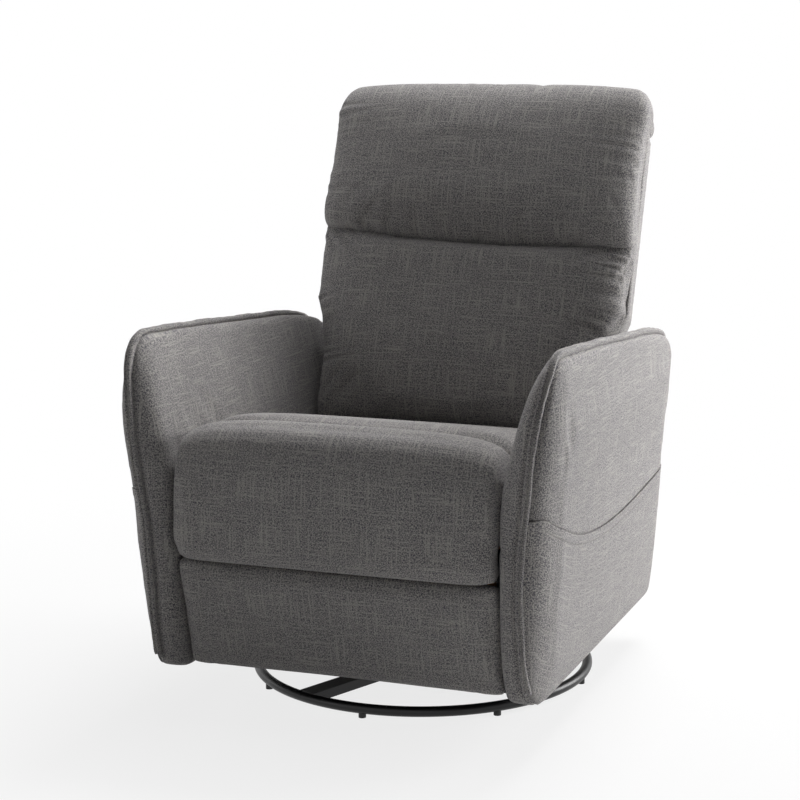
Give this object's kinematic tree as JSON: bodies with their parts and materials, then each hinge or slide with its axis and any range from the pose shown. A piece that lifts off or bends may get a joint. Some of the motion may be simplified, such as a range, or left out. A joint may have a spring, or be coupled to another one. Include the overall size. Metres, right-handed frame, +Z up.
{
  "type": "swivel rocker recliner",
  "caption": "Upholstered swivel rocker recliner on a ring base, with a fold-out footrest, a reclining back and side pockets.",
  "frame": {"origin": "on the floor, under the middle of the chair's length and width", "axes": "+Z up, the sitter faces -Y, +X towards the sitter's left"},
  "size_m": [0.766, 0.96, 1.03],
  "materials": {
    "linen": "woven",
    "black_metal": "satin",
    "mech_steel": "satin",
    "zinc_steel": "satin",
    "black_plastic": "matt",
    "cage_plastic": "matt",
    "frame_wood": "sawn",
    "cam_wood": "sanded",
    "elastic": "woven"
  },
  "bodies": {
    "base": {"base_ring": "black_metal", "base_cross": "black_metal", "base_feet": "black_plastic", "lower_bearing_plate": "mech_steel", "lower_race": "zinc_steel", "bearing_balls": "zinc_steel", "ball_cage": "cage_plastic", "pivot_bolt": "zinc_steel"},
    "turntable": {"upper_bearing_plate": "mech_steel", "upper_race": "zinc_steel", "rocker_rails": "mech_steel", "spring_lower_brackets": "mech_steel"},
    "rocker": {"rocker_springs": "zinc_steel", "rocker_cams": "cam_wood", "spring_upper_brackets": "mech_steel", "cross_angles": "mech_steel", "base_plates": "mech_steel", "slide_rollers": "zinc_steel", "arm_brackets": "mech_steel", "rear_rail": "frame_wood", "rear_panel": "linen", "front_stretcher": "black_metal", "arm_left_frame": "frame_wood", "arm_left_pad": "linen", "arm_left_outer_panel": "linen", "arm_left_pocket": "linen", "arm_left_welt": "linen", "arm_right_frame": "frame_wood", "arm_right_pad": "linen", "arm_right_outer_panel": "linen", "arm_right_pocket": "linen", "arm_right_welt": "linen"},
    "seat": {"seat_plates": "mech_steel", "seat_frame": "frame_wood", "seat_springs": "zinc_steel", "spring_clips": "mech_steel", "seat_front_roll": "linen", "seat_cushion": "linen", "drive_springs": "zinc_steel"},
    "back": {"back_brackets": "mech_steel", "back_frame": "frame_wood", "back_straps": "elastic", "lumbar_pillow": "linen", "head_pillow": "linen", "back_shell": "linen"},
    "drive": {"torque_tube": "mech_steel", "drive_links": "mech_steel"},
    "extension": {"extension_links": "mech_steel"},
    "control": {"control_links": "mech_steel"},
    "footrest": {"footrest_brackets": "mech_steel", "footrest_board": "frame_wood", "footrest_pad": "linen"},
    "latch": {"release_latch": "zinc_steel"},
    "tab": {"release_tab": "linen"}
  },
  "joints": [
    {"name": "swivel", "type": "hinge", "parent": "base", "child": "turntable", "pos_m": [0, -0.022, 0.036], "axis": [0, 0, 1], "continuous": true},
    {"name": "rock", "type": "hinge", "parent": "turntable", "child": "rocker", "pos_m": [0, -0.022, 0.3903], "axis": [-1, 0, 0], "range_deg": [-8, 8], "stiffness_Nm_per_rad": 900, "deforming": ["rocker_springs"]},
    {"name": "recline", "type": "hinge", "parent": "seat", "child": "back", "pos_m": [0, 0.15, 0.345], "axis": [-1, 0, 0], "range_deg": [0, 32]},
    {"name": "seat_glide", "type": "slide", "parent": "rocker", "child": "seat", "axis": [0, -1, 0], "range_m": [0, 0.03]},
    {"name": "footrest_open", "type": "hinge", "parent": "seat", "child": "drive", "pos_m": [0, -0.17, 0.265], "axis": [-1, 0, 0], "range_deg": [0, 147], "deforming": ["drive_springs"]},
    {"name": "extension_fold", "type": "hinge", "parent": "drive", "child": "extension", "pos_m": [0, 0.004, 0.195], "axis": [-1, 0, 0], "range_deg": [-126, 1]},
    {"name": "panel_turn", "type": "hinge", "parent": "extension", "child": "footrest", "pos_m": [0, -0.355, 0.205], "axis": [-1, 0, 0], "range_deg": [-1, 81]},
    {"name": "control_swing", "type": "hinge", "parent": "seat", "child": "control", "pos_m": [0, -0.219, 0.275], "axis": [-1, 0, 0], "range_deg": [-1, 148.6]},
    {"name": "tab_pull", "type": "slide", "parent": "seat", "child": "tab", "axis": [0, 0, 1], "range_m": [0, 0.008], "stiffness_N_per_m": 150, "springref_m": -0.01},
    {"name": "latch_swing", "type": "hinge", "parent": "seat", "child": "latch", "pos_m": [0, -0.13, 0.3], "axis": [1, 0, 0], "range_deg": [-0.5, 22.5]}
  ],
  "couplings": [
    {"joint": "seat_glide", "follows": "recline", "m_per_rad": 0.053715},
    {"joint": "extension_fold", "follows": "footrest_open", "ratio": -0.85034},
    {"joint": "panel_turn", "follows": "footrest_open", "ratio": 0.54422},
    {"joint": "control_swing", "follows": "footrest_open", "ratio": 1.0041},
    {"joint": "latch_swing", "follows": "tab_pull", "rad_per_m": 48}
  ]
}
